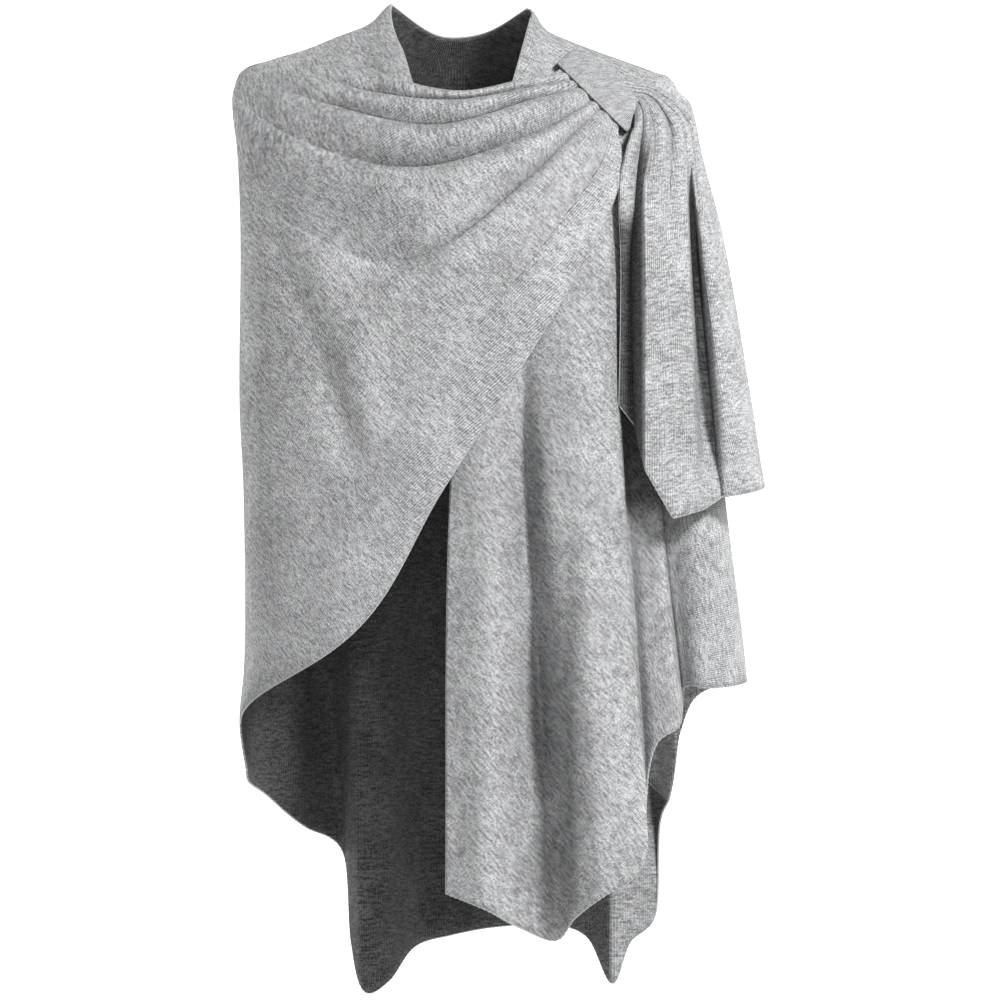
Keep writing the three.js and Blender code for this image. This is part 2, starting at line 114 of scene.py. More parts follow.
def through(values, place):
    """Smooth run through evenly spaced values, at places counted in steps from the first."""
    values = np.asarray(values, float)
    last = len(values) - 1
    slopes = np.empty_like(values)
    slopes[1:-1] = (values[2:] - values[:-2]) / 2
    slopes[0] = values[1] - values[0]
    slopes[-1] = values[-1] - values[-2]
    index = np.clip(np.floor(place).astype(int), 0, last - 1)
    share = place - index
    share = share.reshape(share.shape + (1,) * (values.ndim - 1))
    return hermite(values[index], values[index + 1], slopes[index], slopes[index + 1], share)


def ridge_height(x):
    return column(RIDGE["x"], RIDGE["z"], x)


def section(z, margin):
    """Centre and half width of the hull at a height, widened by a margin at its sides."""
    flare = margin * (1 + np.maximum(-z, 0) / FLARE_DROP)
    left = column(HULL["z"], HULL["left"], z) - flare
    right = column(HULL["z"], HULL["right"], z) + flare
    return (left + right) / 2, (right - left) / 2


def turn_of(x, z, margin):
    """Turn round the hull: -1 at the left side, 0 at the middle and 1 at the right side."""
    centre, half = section(z, margin)
    return np.arcsin(np.clip((x - centre) / half, -1, 1)) / (math.pi / 2)


def on_hull(turn, z, lift, facing, margin, forward=0.0):
    """Points of the cloth at turns and heights, with their lift; none is higher than the ridge.

    The lift is square to the hull. With forward, that share of it stays to the front near the sides.
    """
    centre, half = section(z, margin)
    angle = turn * math.pi / 2
    x = centre + half * np.sin(angle)
    height = np.minimum(z, ridge_height(x) + margin)
    drop = np.minimum((ridge_height(x) + margin - height) / SHOULDER_ROUND, 1)
    over_shoulder = np.sqrt(1 - (1 - drop) ** 2)
    depth = column(HULL["z"], HULL[facing], z)
    side = np.sign(np.cos(angle)) * np.abs(np.cos(angle)) ** PLAN_SQUARENESS
    kept_forward = forward * (1 - smooth_step(SIDE_FADE, 1.0, np.abs(turn)))
    facing_share = np.cos(angle) + kept_forward * (1 - np.cos(angle))
    reach = depth * side * over_shoulder + lift * facing_share + margin * over_shoulder * side
    return np.stack([x, -reach if facing == "front" else reach, height], axis=-1)


def off_seam(points, facing):
    """Keeps half of the seam's gap free on the panel's own side of the plane y = 0."""
    if facing == "front":
        points[..., 1] = np.minimum(points[..., 1], -SEAM_GAP / 2)
    else:
        points[..., 1] = np.maximum(points[..., 1], SEAM_GAP / 2)
    return points


def arc_lengths(grid, axis):
    """Length along the grid's lines from their first point, in the given direction."""
    steps = np.linalg.norm(np.diff(grid, axis=axis), axis=-1)
    start = np.zeros_like(np.take(steps, [0], axis=axis))
    return np.cumsum(np.concatenate([start, steps], axis=axis), axis=axis)


def ripple(x, z, seed):
    """Slight slow unevenness of hanging cloth: a few long waves in seeded directions."""
    chance = np.random.default_rng(seed)
    height = np.zeros_like(x)
    for length in RIPPLE_LENGTHS:
        heading = chance.uniform(-0.9, 0.9)
        phase = chance.uniform(0, 2 * math.pi)
        run = x * math.cos(heading) + z * math.sin(heading)
        height = height + np.sin(2 * math.pi * run / length + phase)
    return height * RIPPLE_HEIGHT


# Shares of a crease's length over which it rises to its height, and over which it fades.
CREASE_BEGINS = (-0.15, 0.25)
CREASE_ENDS = (0.75, 1.15)


def creases_lift(creases, x, z):
    """Lift of soft creases: each runs from one place to another, with a width and a height.

    With a growth, the width grows by that share from one end to the other.
    """
    lift = np.zeros_like(x)
    for crease in creases:
        start = np.array(crease["start"], float)
        run = np.array(crease["end"], float) - start
        length = np.linalg.norm(run)
        along = ((x - start[0]) * run[0] + (z - start[1]) * run[1]) / length ** 2
        bow = crease.get("bow", 0) * 4 * along * (1 - along)
        aside = ((x - start[0]) * -run[1] + (z - start[1]) * run[0]) / length - bow
        width = np.where(aside > 0, crease["width"], crease.get("other_width", crease["width"]))
        width = width * (1 + crease.get("growth", 0) * np.clip(along, 0, 1))
        fade = smooth_step(*CREASE_BEGINS, along) * (1 - smooth_step(*CREASE_ENDS, along))
        power = np.where(aside > 0, crease.get("power", 2), crease.get("other_power", 2))
        lift = lift + crease["height"] * fade * np.exp(-0.5 * (np.abs(aside) / width) ** power)
    return lift


# Hanging panels: each row is a line that runs down the cloth, from the ridge or neck edge to the hem.
CHEST_HEIGHT = -150
HIP_HEIGHT = -400
CHEST_SHARE = 0.3
STEP_GROWTH = 0.35

# Places across between which the folds of a panel come to stand forward at the arm, and the share
# that does in the left front.
ARM_ACROSS = (130, 190)
ARM_FORWARD = 0.8

LINE_COLUMNS = ["top", "chest", "hip", "hem", "hem_z", "hip_lift", "hem_lift"]

# columns: top, chest, hip, hem, hem_z, hip_lift, hem_lift
BACK_LINES = {
    "left side": [-216, -230, -230, -230, -646, 0, 0],
    "left hollow": [-205, -204, -198, -186, -662, 4, 14],
    "left ridge": [-180, -184, -176, -150, -693, -4, -12],
    "point hollow": [-150, -150, -140, -112, -719, 6, 20],
    "point drop": [-132, -132, -118, -103, -810, 0, -6],
    "left point": [-116, -114, -98, -91, -852, -10, -32],
    "left point end": [-98, -92, -74, -68, -842, -10, -28],
    "centre hollow": [-66, -62, -48, -44, -811, 3, 10],
    "centre back": [-30, -28, -20, -8, -800, 6, 22],
    "centre ridge": [8, 14, 24, 36, -791, -5, -16],
    "right hollow": [62, 70, 84, 90, -790, 6, 20],
    "right point drop": [96, 104, 118, 124, -802, 0, 2],
    "right point": [118, 128, 142, 147, -845, -8, -26],
    "right point end": [136, 148, 162, 164, -806, -4, -12],
    "side hollow": [156, 170, 184, 189, -778, 8, 22],
    "side step": [168, 184, 200, 193, -692, 4, 12],
    "side ridge": [178, 198, 214, 203, -662, -3, -8],
    "side corner": [186, 210, 226, 211, -606, -2, -4],
    "arm hem": [193, 221, 240, 226, -570, 0, 4],
    "arm end": [196, 229, 249, 254, -556, 0, 2],
    "right side": [216, 260, 290, 300, -552, 0, 0],
}

# columns: top, chest, hip, hem, hem_z, hip_lift, hem_lift
LEFT_FRONT_LINES = {
    "free edge": [70, 10, -9, -12, -752, 0, 4],
    "edge ridge": [78, 32, 18, 26, -767, 7, 16],
    "inner slope": [88, 46, 44, 56, -784, 5, -2],
    "front hollow": [100, 62, 72, 92, -798, -15, -24],
    "hem step": [110, 84, 96, 112, -774, -4, -4],
    "front ridge": [120, 108, 120, 136, -755, 9, 22],
    "ridge edge": [128, 128, 144, 164, -738, 9, 20],
    "turned edge": [136, 142, 156, 178, -712, 2, 4],
    "behind the turn": [143, 149, 160, 178, -660, -20, -26],
    "second fold": [152, 160, 171, 187, -612, -12, -10],
    "second edge": [162, 176, 190, 209, -594, -2, 0],
    "behind the second": [172, 181, 194, 213, -570, -20, -22],
    "arm fold edge": [182, 191, 200, 216, -556, -14, -11],
    "arm fold": [196, 217, 233, 241, -558, 15, 18],
    "right side": [216, 260, 290, 300, -552, 0, 0],
}


def hanging_grid(lines, facing, top_height, across, down, creases, relief=1.0, forward=0.0):
    """Grid of a hanging panel's points, with the given numbers of steps across and down.

    A relief of 0 leaves out every fold, for the flat cloth that the knit is laid out on. Forward is
    the share of the folds at the arm that stands to the front.
    """
    table = {name: np.array([row[at] for row in lines.values()], float)
             for at, name in enumerate(LINE_COLUMNS)}
    place = np.linspace(0, len(lines) - 1, across + 1)
    share = np.linspace(0, 1, down + 1)
    top_z = top_height(through(table["top"], place))
    hem_z = through(table["hem_z"], place)
    z = top_z[:, None] + (hem_z - top_z)[:, None] * share * (1 - STEP_GROWTH + STEP_GROWTH * share)
    turns = []
    lifts = []
    for at in range(len(lines)):
        row = {name: values[at] for name, values in table.items()}
        heights = [float(top_height(row["top"])), CHEST_HEIGHT, HIP_HEIGHT, row["hem_z"]]
        x = column(heights, [row["top"], row["chest"], row["hip"], row["hem"]], z)
        turns.append(turn_of(x, z, 0))
        lifts.append(column(heights, [0, CHEST_SHARE * row["hip_lift"], row["hip_lift"], row["hem_lift"]], z))
    turn = pick_through(np.array(turns), place)
    lift = pick_through(np.array(lifts), place)
    x = on_hull(turn, z, lift, facing, 0)[..., 0]
    lift = relief * (lift + creases_lift(creases, x, z) + ripple(x, z, len(lines)))
    forward = forward * smooth_step(*ARM_ACROSS, x)
    return off_seam(on_hull(turn, z, lift, facing, 0, forward), facing), place


def pick_through(stack, place):
    """Smooth run through a stack of grids, where row i of the result is taken at its own place[i]."""
    last = len(stack) - 1
    slopes = np.empty_like(stack)
    slopes[1:-1] = (stack[2:] - stack[:-2]) / 2
    slopes[0] = stack[1] - stack[0]
    slopes[-1] = stack[-1] - stack[-2]
    index = np.clip(np.floor(place).astype(int), 0, last - 1)
    rows = np.arange(stack.shape[1])
    share = (place - index)[:, None]
    return hermite(stack[index, rows], stack[index + 1, rows], slopes[index, rows], slopes[index + 1, rows],
                   share)


def back_top(x):
    return np.where(np.abs(x) < NECK_HALF_WIDTH, column(BACK_NECK["x"], BACK_NECK["z"], x), ridge_height(x))


# Right front: each row is a line that the folds follow, from the neck edge to the hem edge, with its
# place (x, z) at each station along the cloth.
# columns: start, left, low, right, near, entry, exit, bend, turn, fall, mid, end
WRAP_LINES = {
    "neck edge": [(-65, 93), (-55, 50), (-26, -4), (58, 8), (84, 20), (104, 30),
                  (162, 23), (192, 15), (228, -20), (238, -84), (255, -161), (292, -360)],
    "cowl top": [(-116, 61), (-86, 30), (-6, 8), (57, 18), (84, 23), (104, 26),
                 (163, 18), (193, 10), (228, -27), (238, -90), (255, -161), (292, -366)],
    "first crease": [(-165, 44), (-111, 14), (-13, -1), (62, 10), (88, 15), (112, 19),
                     (164, 15), (191, 7), (220, -29), (226, -90), (228, -161), (249, -377)],
    "second crease": [(-200, 33), (-122, -5), (-24, -25), (68, -1), (103, 8), (122, 13),
                      (165, 12), (189, 4), (214, -31), (220, -90), (221, -161), (233, -388)],
    "third crease": [(-230, 23), (-134, -46), (-36, -65), (70, -34), (108, -13), (133, 2),
                     (166, 8), (186, 0), (202, -34), (200, -90), (199, -161), (203, -397)],
    "fourth crease": [(-230, -50), (-134, -134), (-42, -154), (66, -76), (112, -30), (140, -6),
                      (167, 3), (178, -4), (184, -37), (177, -90), (177, -161), (177, -352)],
    "edge crease": [(-230, -340), (-120, -318), (-14, -246), (92, -122), (136, -58), (148, -18),
                    (168, -3), (174, -9), (173, -38), (168, -90), (164, -161), (167, -309)],
    "hem edge": [(-230, -594), (-107, -512), (-12, -365), (98, -190), (153, -74), (151, -25),
                 (166, -12), (167, -23), (162, -38), (152, -90), (154, -161), (152, -290)],
}

# Lift of each line off the hull at each station, before the crests between the lines.
# columns: start, left, low, right, near, entry, exit, bend, turn, fall, mid, end
WRAP_LIFT = {
    "neck edge": [0, 0, 1, 7, 11, 12, 11, 10, 4, 2, 0, 0],
    "cowl top": [0, 3, 10, 16, 16, 13, 13, 12, 8, 7, 6, 6],
    "first crease": [0, 3, 9, 14, 14, 12, 12, 10, 6, 12, 13, 12],
    "second crease": [0, 2, 9, 13, 14, 12, 12, 13, 12, 13, 14, 12],
    "third crease": [0, 2, 9, 13, 14, 12, 12, 11, 5, 14, 18, 17],
    "fourth crease": [0, 2, 9, 13, 14, 12, 12, 12, 8, 10, 12, 12],
    "edge crease": [0, 3, 14, 14, 14, 13, 12.5, 11.5, 3, -10, -24, -26],
    "hem edge": [0, 3, 12, 14, 14, 13, 13.5, 12, 7, -3, -20, -22],
}

# Height of the crest between a line and the next at each station.
# columns: start, left, low, right, near, entry, exit, bend, turn, fall, mid, end
WRAP_CRESTS = {
    "collar": [1, 2, 0, 0, 0, 0, 0, 0, 1, 2, 2, 3],
    "cowl top": [4, 8, 8, 6, 6, 4, 4, 5, 8, 8, 8, 8],
    "second": [3, 9, 11, 9, 8, 5, 5, 6, 7, 0, 0, 0],
    "third": [1, 13, 19, 15, 11, 5, 5, 6, 8, 2, 0, 0],
    "fourth": [1, 12, 25, 21, 13, 5, 5, 6, 8, 2, 0, 0],
    "wide fall": [0, 8, 14, 15, 12, 4, 4, 5, 8, 3, 0, 0],
    "edge": [0, 2, 3, 3, 3, 1, 1, 2, 5, 5, 2, 1],
}

# How far down its band each crest stands: under 1 it stands near the upper line, as a lip does.
# columns: start, left, low, right, near, entry, exit, bend, turn, fall, mid, end
CREST_LEAN = [0.8, 0.6, 0.55, 0.55, 0.6, 0.7, 0.8, 0.9, 1, 1, 1, 1]

# Grid steps across each crest, and along each stretch between two stations.
CREST_STEPS = [14, 20, 20, 26, 36, 60, 16]
STRETCH_STEPS = [32, 34, 30, 16, 12, 12, 12, 12, 16, 20, 36]

# The tail stands off the hull by a margin that comes in between two stations. Its outer edge turns on
# round the arm by a share of a quarter turn.
TAIL_MARGIN = 9
TAIL_FROM = 6
TAIL_FULL = 8
TAIL_ROUND = 0.12

# This share of the tail's relief stands to the front where the hull turns to the side, and comes in
# between these places across.
TAIL_FORWARD = 0.9
TAIL_FORWARD_ACROSS = (1.0, 1.6)

# Places along between which the worn creases of the wide fall fade out, and the seed of its ripple.
WORN_ENDS = (3.6, 4.6)
WRAP_RIPPLE = 21

# Grid steps gather below each line by this power.
CREST_GATHER = 1.5


def margin_at(place):
    return TAIL_MARGIN * smooth_step(TAIL_FROM, TAIL_FULL, place)


def stepped(steps, gather=1.0):
    """Places from 0 in whole stretches, each cut in its own steps, which gather at its start."""
    places = [at + (np.arange(count) / count) ** gather for at, count in enumerate(steps)]
    return np.concatenate(places + [np.array([float(len(steps))])])


def wrap_grid(creases, tail_creases):
    """Grid of the right front: one row for each place along the cloth, from the neck edge to the hem."""
    along = stepped(STRETCH_STEPS)
    across = stepped(CREST_STEPS, CREST_GATHER)
    stations = np.arange(len(STRETCH_STEPS) + 1, dtype=float)
    places = np.array(list(WRAP_LINES.values()), float)
    turns = turn_of(places[..., 0], places[..., 1], margin_at(stations))
    turns[0] += TAIL_ROUND * smooth_step(TAIL_FROM, TAIL_FULL + 1, stations)
    lifts = np.array(list(WRAP_LIFT.values()), float)
    crests = np.array(list(WRAP_CRESTS.values()), float)

    index = np.clip(np.floor(across).astype(int), 0, len(CREST_STEPS) - 1)
    share = across - index

    def between(runs):
        lines = through(runs.T, along)
        return lines[:, index] + (lines[:, index + 1] - lines[:, index]) * share

    lean = through(CREST_LEAN, along)[:, None]
    profile = np.sin(math.pi * np.clip(share, 0, 1) ** lean)
    crest = np.maximum(through(crests.T, along), 0)[:, index] * profile
    z = between(places[..., 1])
    turn = between(turns)
    margin = margin_at(along)[:, None]
    lift = between(lifts) + crest
    x = on_hull(turn, z, lift, "front", margin)[..., 0]
    worn = creases_lift(creases, x, z) + ripple(x, z, WRAP_RIPPLE)
    lift = lift + worn * (1 - smooth_step(*WORN_ENDS, along))[:, None]
    lift = lift + creases_lift(tail_creases, x, z) * smooth_step(TAIL_FULL, TAIL_FULL + 1, along)[:, None]
    forward = TAIL_FORWARD * smooth_step(TAIL_FROM, TAIL_FULL, along)[:, None]
    forward = forward * smooth_step(*TAIL_FORWARD_ACROSS, across)
    grid = on_hull(turn, z, lift, "front", margin, forward)
    before = along <= TAIL_FROM
    grid[before] = off_seam(grid[before], "front")
    return grid


# Shoulder loop: a ring of band seen from the front, with a straight lower left edge.
LOOP = {
    "edge_middle": (126.4, 2.8),
    "long_way": (0.708, -0.706),
    "half_length": 46,
    "lift_middle": 13.8,
    "lift_half": 8.8,
    "roundness": 0.7,
    "steps_round": 160,
    "steps_wide": 24,
}

# Width of the loop's band at places along it, from its top end at -1 to its lower end at 1.
LOOP_WIDTH = {
    "along": [-1, -0.8, -0.5, 0, 0.4, 0.7, 0.9, 1],
    "width": [17, 26, 30.5, 31.5, 31.5, 27, 12, 4],
}


def loop_grid():
    """Ring of points of the shoulder loop: round its length, and across its width."""
    long_way = np.array(LOOP["long_way"])
    flow = np.array([-long_way[1], long_way[0]])
    angle = 2 * math.pi * np.arange(LOOP["steps_round"]) / LOOP["steps_round"]
    along = np.cos(angle)
    out = np.sign(np.sin(angle)) * np.abs(np.sin(angle)) ** LOOP["roundness"]
    width = column(LOOP_WIDTH["along"], LOOP_WIDTH["width"], along)
    side = width[:, None] * np.linspace(0, 1, LOOP["steps_wide"] + 1)
    run = (LOOP["half_length"] * along)[:, None]
    x = LOOP["edge_middle"][0] + run * long_way[0] + side * flow[0]
    z = LOOP["edge_middle"][1] + run * long_way[1] + side * flow[1]
    lift = (LOOP["lift_middle"] + LOOP["lift_half"] * out)[:, None] + 0 * side
    return on_hull(turn_of(x, z, 0), z, lift, "front", 0)


def grid_normals(grid, closed, seam=None):
    """Unit normals of a grid, from the neighbours of each point."""
    if closed:
        along = np.roll(grid, -1, axis=0) - np.roll(grid, 1, axis=0)
    else:
        along = np.gradient(grid, axis=0)
    normals = np.cross(along, np.gradient(grid, axis=1))
    if seam is not None:
        normals[seam, 1] = 0
    return normals / np.maximum(np.linalg.norm(normals, axis=-1, keepdims=True), 1e-9)


def shell(name, grid, knit, materials, closed=False, seam=None, outward=1.0, turned=None):
    """Closed shell on a grid: outer faces, inner faces and edges, with its knit's coordinates.

    Where turned is 1, the side towards the viewer shows the other face: where the cloth is folded over, as
    painted shade in the recesses of the fronts, and in part along the back's neck.
    """
    uv, packing = knit
    if turned is None:
        turned = np.zeros(grid.shape[:2])
    rows, columns = grid.shape[:2]
    normals = grid_normals(grid, closed, seam) * outward
    outer = grid + normals * WALL / 2
    inner = grid - normals * WALL / 2
    points = np.concatenate([outer.reshape(-1, 3), inner.reshape(-1, 3)]) * MM
    number = np.arange(rows * columns).reshape(rows, columns)
    if closed:
        number = np.concatenate([number, number[:1]])
    a, b = number[:-1, :-1].ravel(), number[1:, :-1].ravel()
    c, d = number[1:, 1:].ravel(), number[:-1, 1:].ravel()
    face = np.stack([a, b, c, d] if outward > 0 else [a, d, c, b], axis=1)
    shift = rows * columns
    sides = [(number[:, 0], 1), (number[:, -1], -1)]
    if not closed:
        sides += [(number[0], -1), (number[-1], 1)]
    rims = []
    for line, turn in sides:
        first, second = (line[:-1], line[1:]) if turn * outward > 0 else (line[1:], line[:-1])
        rims.append(np.stack([first, first + shift, second + shift, second], axis=1))
    faces = np.concatenate([face, face[:, ::-1] + shift] + rims)
    mesh = bpy.data.meshes.new(name)
    mesh.from_pydata(points.tolist(), [], faces.tolist())
    for material in materials:
        mesh.materials.append(material)
    slots = np.zeros(len(faces), dtype=np.int32)
    slots[len(face):2 * len(face)] = len(materials) - 1
    mesh.polygons.foreach_set("material_index", slots)
    mesh.polygons.foreach_set("use_smooth", np.ones(len(faces), dtype=bool))
    corners = np.empty(len(mesh.loops), dtype=np.int32)
    mesh.loops.foreach_get("vertex_index", corners)
    layer = mesh.uv_layers.new(name="knit")
    flat = np.concatenate([uv.reshape(-1, 2)] * 2)
    layer.data.foreach_set("uv", flat[corners].ravel().astype(np.float32))
    for attribute, values in (("packing", packing), ("turned", turned)):
        layer = mesh.attributes.new(attribute, "FLOAT", "POINT")
        layer.data.foreach_set("value", np.concatenate([values.ravel()] * 2).astype(np.float32))
    mesh.update()
    obj = bpy.data.objects.new(name, mesh)
    bpy.context.scene.collection.objects.link(obj)
    return obj


EDGE_STEP = 1.1
EDGE_SIDES = 8
SCALLOP_PITCH = 5.5


def rolled_edge(name, line, radius, material, scallop=0.0):
    """Overlocked edge of the knit: a fine roll along a line, with small scallops of the stitches."""
    points = np.array(line, float)
    steps = np.linalg.norm(np.diff(points, axis=0), axis=1)
    length = np.concatenate([[0], np.cumsum(steps)])
    count = max(int(length[-1] / EDGE_STEP), EDGE_SIDES)
    places = np.linspace(0, length[-1], count + 1)
    spine = np.stack([np.interp(places, length, points[:, axis]) for axis in range(3)], axis=1)
    tangent = np.gradient(spine, axis=0)
    tangent /= np.maximum(np.linalg.norm(tangent, axis=1, keepdims=True), 1e-9)
    side = np.cross(tangent, np.array([0.0, 1.0, 0.0]))
    side /= np.maximum(np.linalg.norm(side, axis=1, keepdims=True), 1e-9)
    up = np.cross(side, tangent)
    swell = radius * (1 + scallop * np.cos(2 * math.pi * places / SCALLOP_PITCH))
    around = np.arange(EDGE_SIDES) * 2 * math.pi / EDGE_SIDES
    rings = spine[:, None] + swell[:, None, None] * (
        side[:, None] * np.cos(around)[None, :, None] + up[:, None] * np.sin(around)[None, :, None])
    count = len(spine) * EDGE_SIDES
    number = np.arange(count).reshape(len(spine), EDGE_SIDES)
    number = np.concatenate([number, number[:, :1]], axis=1)
    faces = np.stack([number[:-1, :-1].ravel(), number[1:, :-1].ravel(), number[1:, 1:].ravel(),
                      number[:-1, 1:].ravel()], axis=1).tolist()
    faces += [list(range(EDGE_SIDES - 1, -1, -1)), list(range(count - EDGE_SIDES, count))]
    mesh = bpy.data.meshes.new(name)
    mesh.from_pydata((rings.reshape(-1, 3) * MM).tolist(), [], faces)
    mesh.materials.append(material)
    mesh.polygons.foreach_set("use_smooth", np.ones(len(faces), dtype=bool))
    mesh.update()
    obj = bpy.data.objects.new(name, mesh)
    bpy.context.scene.collection.objects.link(obj)
    return obj


def solve_field(steps_first, steps_second):
    """Smooth field on a grid whose steps come nearest the wanted ones, in both directions."""
    rows, columns = steps_first.shape[0] + 1, steps_second.shape[1] + 1
    source = np.zeros((rows, columns))
    source[:-1] += steps_first
    source[1:] -= steps_first
    source[:, :-1] += steps_second
    source[:, 1:] -= steps_second
    mirrored = np.concatenate([source, source[::-1]], axis=0)
    mirrored = np.concatenate([mirrored, mirrored[:, ::-1]], axis=1)
    first = 2 * np.cos(math.pi * np.arange(2 * rows) / rows) - 2
    second = 2 * np.cos(math.pi * np.arange(2 * columns) / columns) - 2
    response = first[:, None] + second
    response[0, 0] = 1
    spectrum = np.fft.fft2(mirrored) / response
    spectrum[0, 0] = 0
    return np.fft.ifft2(spectrum).real[:rows, :columns]


# The wales may be packed between these shares of their true number, smoothed in this many passes.
PACKING_LIMITS = (0.5, 8)
PACKING_PASSES = 12


def knit_field(grid, wanted):
    """Knit coordinates whose wales run in wanted directions, and how closely the wales are packed.

    The coordinates count wales across, and millimetres along the wale.
    """
    first = np.gradient(grid, axis=0)
    second = np.gradient(grid, axis=1)
    normal = np.cross(first, second)
    normal /= np.maximum(np.linalg.norm(normal, axis=-1, keepdims=True), 1e-9)
    heading = wanted - normal * np.sum(wanted * normal, axis=-1, keepdims=True)
    heading /= np.maximum(np.linalg.norm(heading, axis=-1, keepdims=True), 1e-9)
    aside = np.cross(normal, heading)
    fields = []
    for axis, unit in ((aside, WALE), (heading, 1.0)):
        one = np.sum(axis * first, axis=-1) / unit
        two = np.sum(axis * second, axis=-1) / unit
        fields.append(solve_field((one[1:] + one[:-1]) / 2, (two[:, 1:] + two[:, :-1]) / 2))
    across, along = fields
    one = np.sum(aside * first, axis=-1) / WALE
    two = np.sum(aside * second, axis=-1) / WALE
    got = np.sqrt(np.gradient(across, axis=0) ** 2 + np.gradient(across, axis=1) ** 2)
    packing = np.log2(np.clip(got / np.maximum(np.sqrt(one ** 2 + two ** 2), 1e-3), *PACKING_LIMITS))
    for _ in range(PACKING_PASSES):
        packing[:, 1:-1] = (packing[:, :-2] + 2 * packing[:, 1:-1] + packing[:, 2:]) / 4
        packing[1:-1] = (packing[:-2] + 2 * packing[1:-1] + packing[2:]) / 4
    return np.stack([across, along], axis=-1), packing


def headings(degrees):
    """Directions seen from the front, by their angle from level."""
    angle = np.radians(degrees)
    return np.stack([np.cos(angle), 0 * angle, np.sin(angle)], axis=-1)


class Graph:
    """A new material's nodes, with short calls that add and join them."""

    def __init__(self, name):
        self.material = bpy.data.materials.new(name)
        self.material.use_nodes = True
        self.nodes = self.material.node_tree.nodes
        self.links = self.material.node_tree.links
        self.shader = self.nodes["Principled BSDF"]

    def add(self, kind, **values):
        node = self.nodes.new(kind)
        for key, value in values.items():
            setattr(node, key, value)
        return node

    def feed(self, socket, value):
        if isinstance(value, bpy.types.NodeSocket):
            self.links.new(value, socket)
        else:
            socket.default_value = value

    def math(self, operation, first, second=0.0, third=0.0):
        node = self.add("ShaderNodeMath", operation=operation)
        for socket, value in zip(node.inputs, (first, second, third)):
            self.feed(socket, value)
        return node.outputs[0]

    def mix(self, factor, first, second):
        node = self.add("ShaderNodeMix", data_type="FLOAT")
        self.feed(node.inputs[0], factor)
        self.feed(node.inputs[2], first)
        self.feed(node.inputs[3], second)
        return node.outputs[0]

    def colour(self, factor, first, second):
        node = self.add("ShaderNodeMix", data_type="RGBA")
        self.feed(node.inputs[0], factor)
        self.feed(node.inputs[6], first)
        self.feed(node.inputs[7], second)
        return node.outputs[2]

    def point(self, x, y, z=0.0):
        node = self.add("ShaderNodeCombineXYZ")
        for socket, value in zip(node.inputs, (x, y, z)):
            self.feed(socket, value)
        return node.outputs[0]

    def noise(self, vector, scale, detail=2.0):
        node = self.add("ShaderNodeTexNoise")
        self.feed(node.inputs["Vector"], vector)
        self.feed(node.inputs["Scale"], scale)
        self.feed(node.inputs["Detail"], detail)
        return node.outputs["Fac"]

    def raise_surface(self, height, strength, depth):
        """Bumps the shader's surface by a height, of the given depth in metres."""
        bump = self.add("ShaderNodeBump")
        bump.inputs["Strength"].default_value = strength
        bump.inputs["Distance"].default_value = depth
        self.feed(bump.inputs["Height"], height)
        self.feed(self.shader.inputs["Normal"], bump.outputs[0])


def grey(value):
    """Neutral grey of the yarn, a trace cooler than pure grey."""
    return (value * 0.985, value * 0.995, value * 1.01, 1.0)


# Heather yarn: how finely each kind of fleck varies, in each wale across and in millimetres along,
# where its noise is taken, its detail, and how far it swings between the two greys.
FLECKS = {
    "grain": {"across": 1.1, "along": 2.2, "layer": 0.0, "detail": 2.0, "swing": 2.2},
    "streak": {"across": 0.22, "along": 2.5, "layer": 4.0, "detail": 1.0, "swing": 1.5},
    "cloud": {"across": 0.16, "along": 9.0, "layer": 9.0, "detail": 2.0, "swing": 0.7},
}

# Slow change of tone over the cloth, and patches where the wales show less clearly.
TONE = {"scale": 15.0, "swing": 0.4, "base": 0.3}
CLEARNESS = {"scale": 26.0, "From Min": 0.38, "From Max": 0.62, "To Min": 0.45}

# Shape of a stitch: its lean in the wale, and its shade. Relief of the knit, with heights that count
# a wale as 1, and the depth of the whole in metres.
STITCH_LEAN = 1.2
STITCH_SHADE = 0.04
KNIT_RELIEF = {"stitch": 0.16, "grain": 0.9, "strength": 0.6, "depth": 0.0007}

# Finish of the yarn, on the shader's own sockets.
YARN_FINISH = {"Roughness": 0.92, "Specular IOR Level": 0.25, "Sheen Weight": 0.08, "Sheen Roughness": 0.5}


